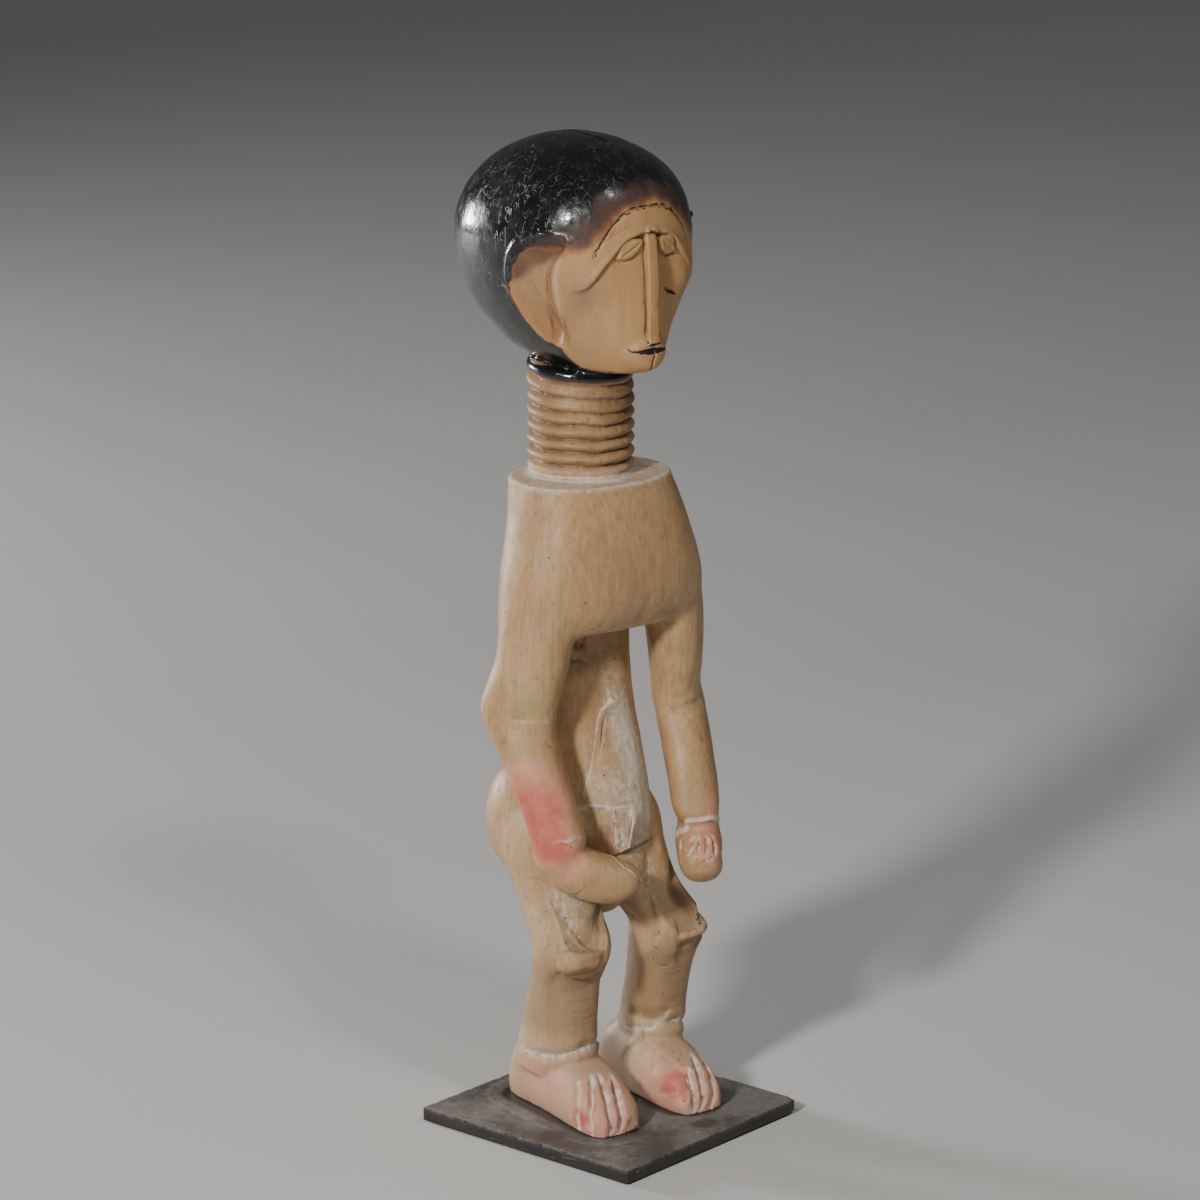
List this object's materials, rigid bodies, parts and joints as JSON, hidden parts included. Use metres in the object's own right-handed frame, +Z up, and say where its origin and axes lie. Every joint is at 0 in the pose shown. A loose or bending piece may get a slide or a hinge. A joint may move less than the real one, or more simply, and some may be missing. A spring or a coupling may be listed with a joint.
{
  "type": "carved fertility doll",
  "caption": "Standing carved wooden figure with a large round head, ringed neck, hanging arms and bent legs, screwed to a thin square base plate; a free-standing ornament.",
  "frame": {"origin": "centre of the square felt underside, the surface the object stands on", "axes": "+Z up. The figure faces -Y, and its own left is towards +X. The base plate is turned 12 degrees about +Z against the figure."},
  "size_m": [0.1568, 0.176, 0.4998],
  "materials": {
    "pale_wood": "satin, with a black lacquered hair cap, red pigment on the hands and feet, and worn chalky edges",
    "black_board": "black-stained and matt, with dusty wear and bare scuffed edges",
    "black_felt": "matt felt",
    "zinc_steel": "bright zinc"
  },
  "bodies": {
    "root": {"carved_figure": "pale_wood", "base_plate": "black_board", "base_felt": "black_felt", "left_foot_screw": "zinc_steel", "right_foot_screw": "zinc_steel"}
  },
  "joints": []
}
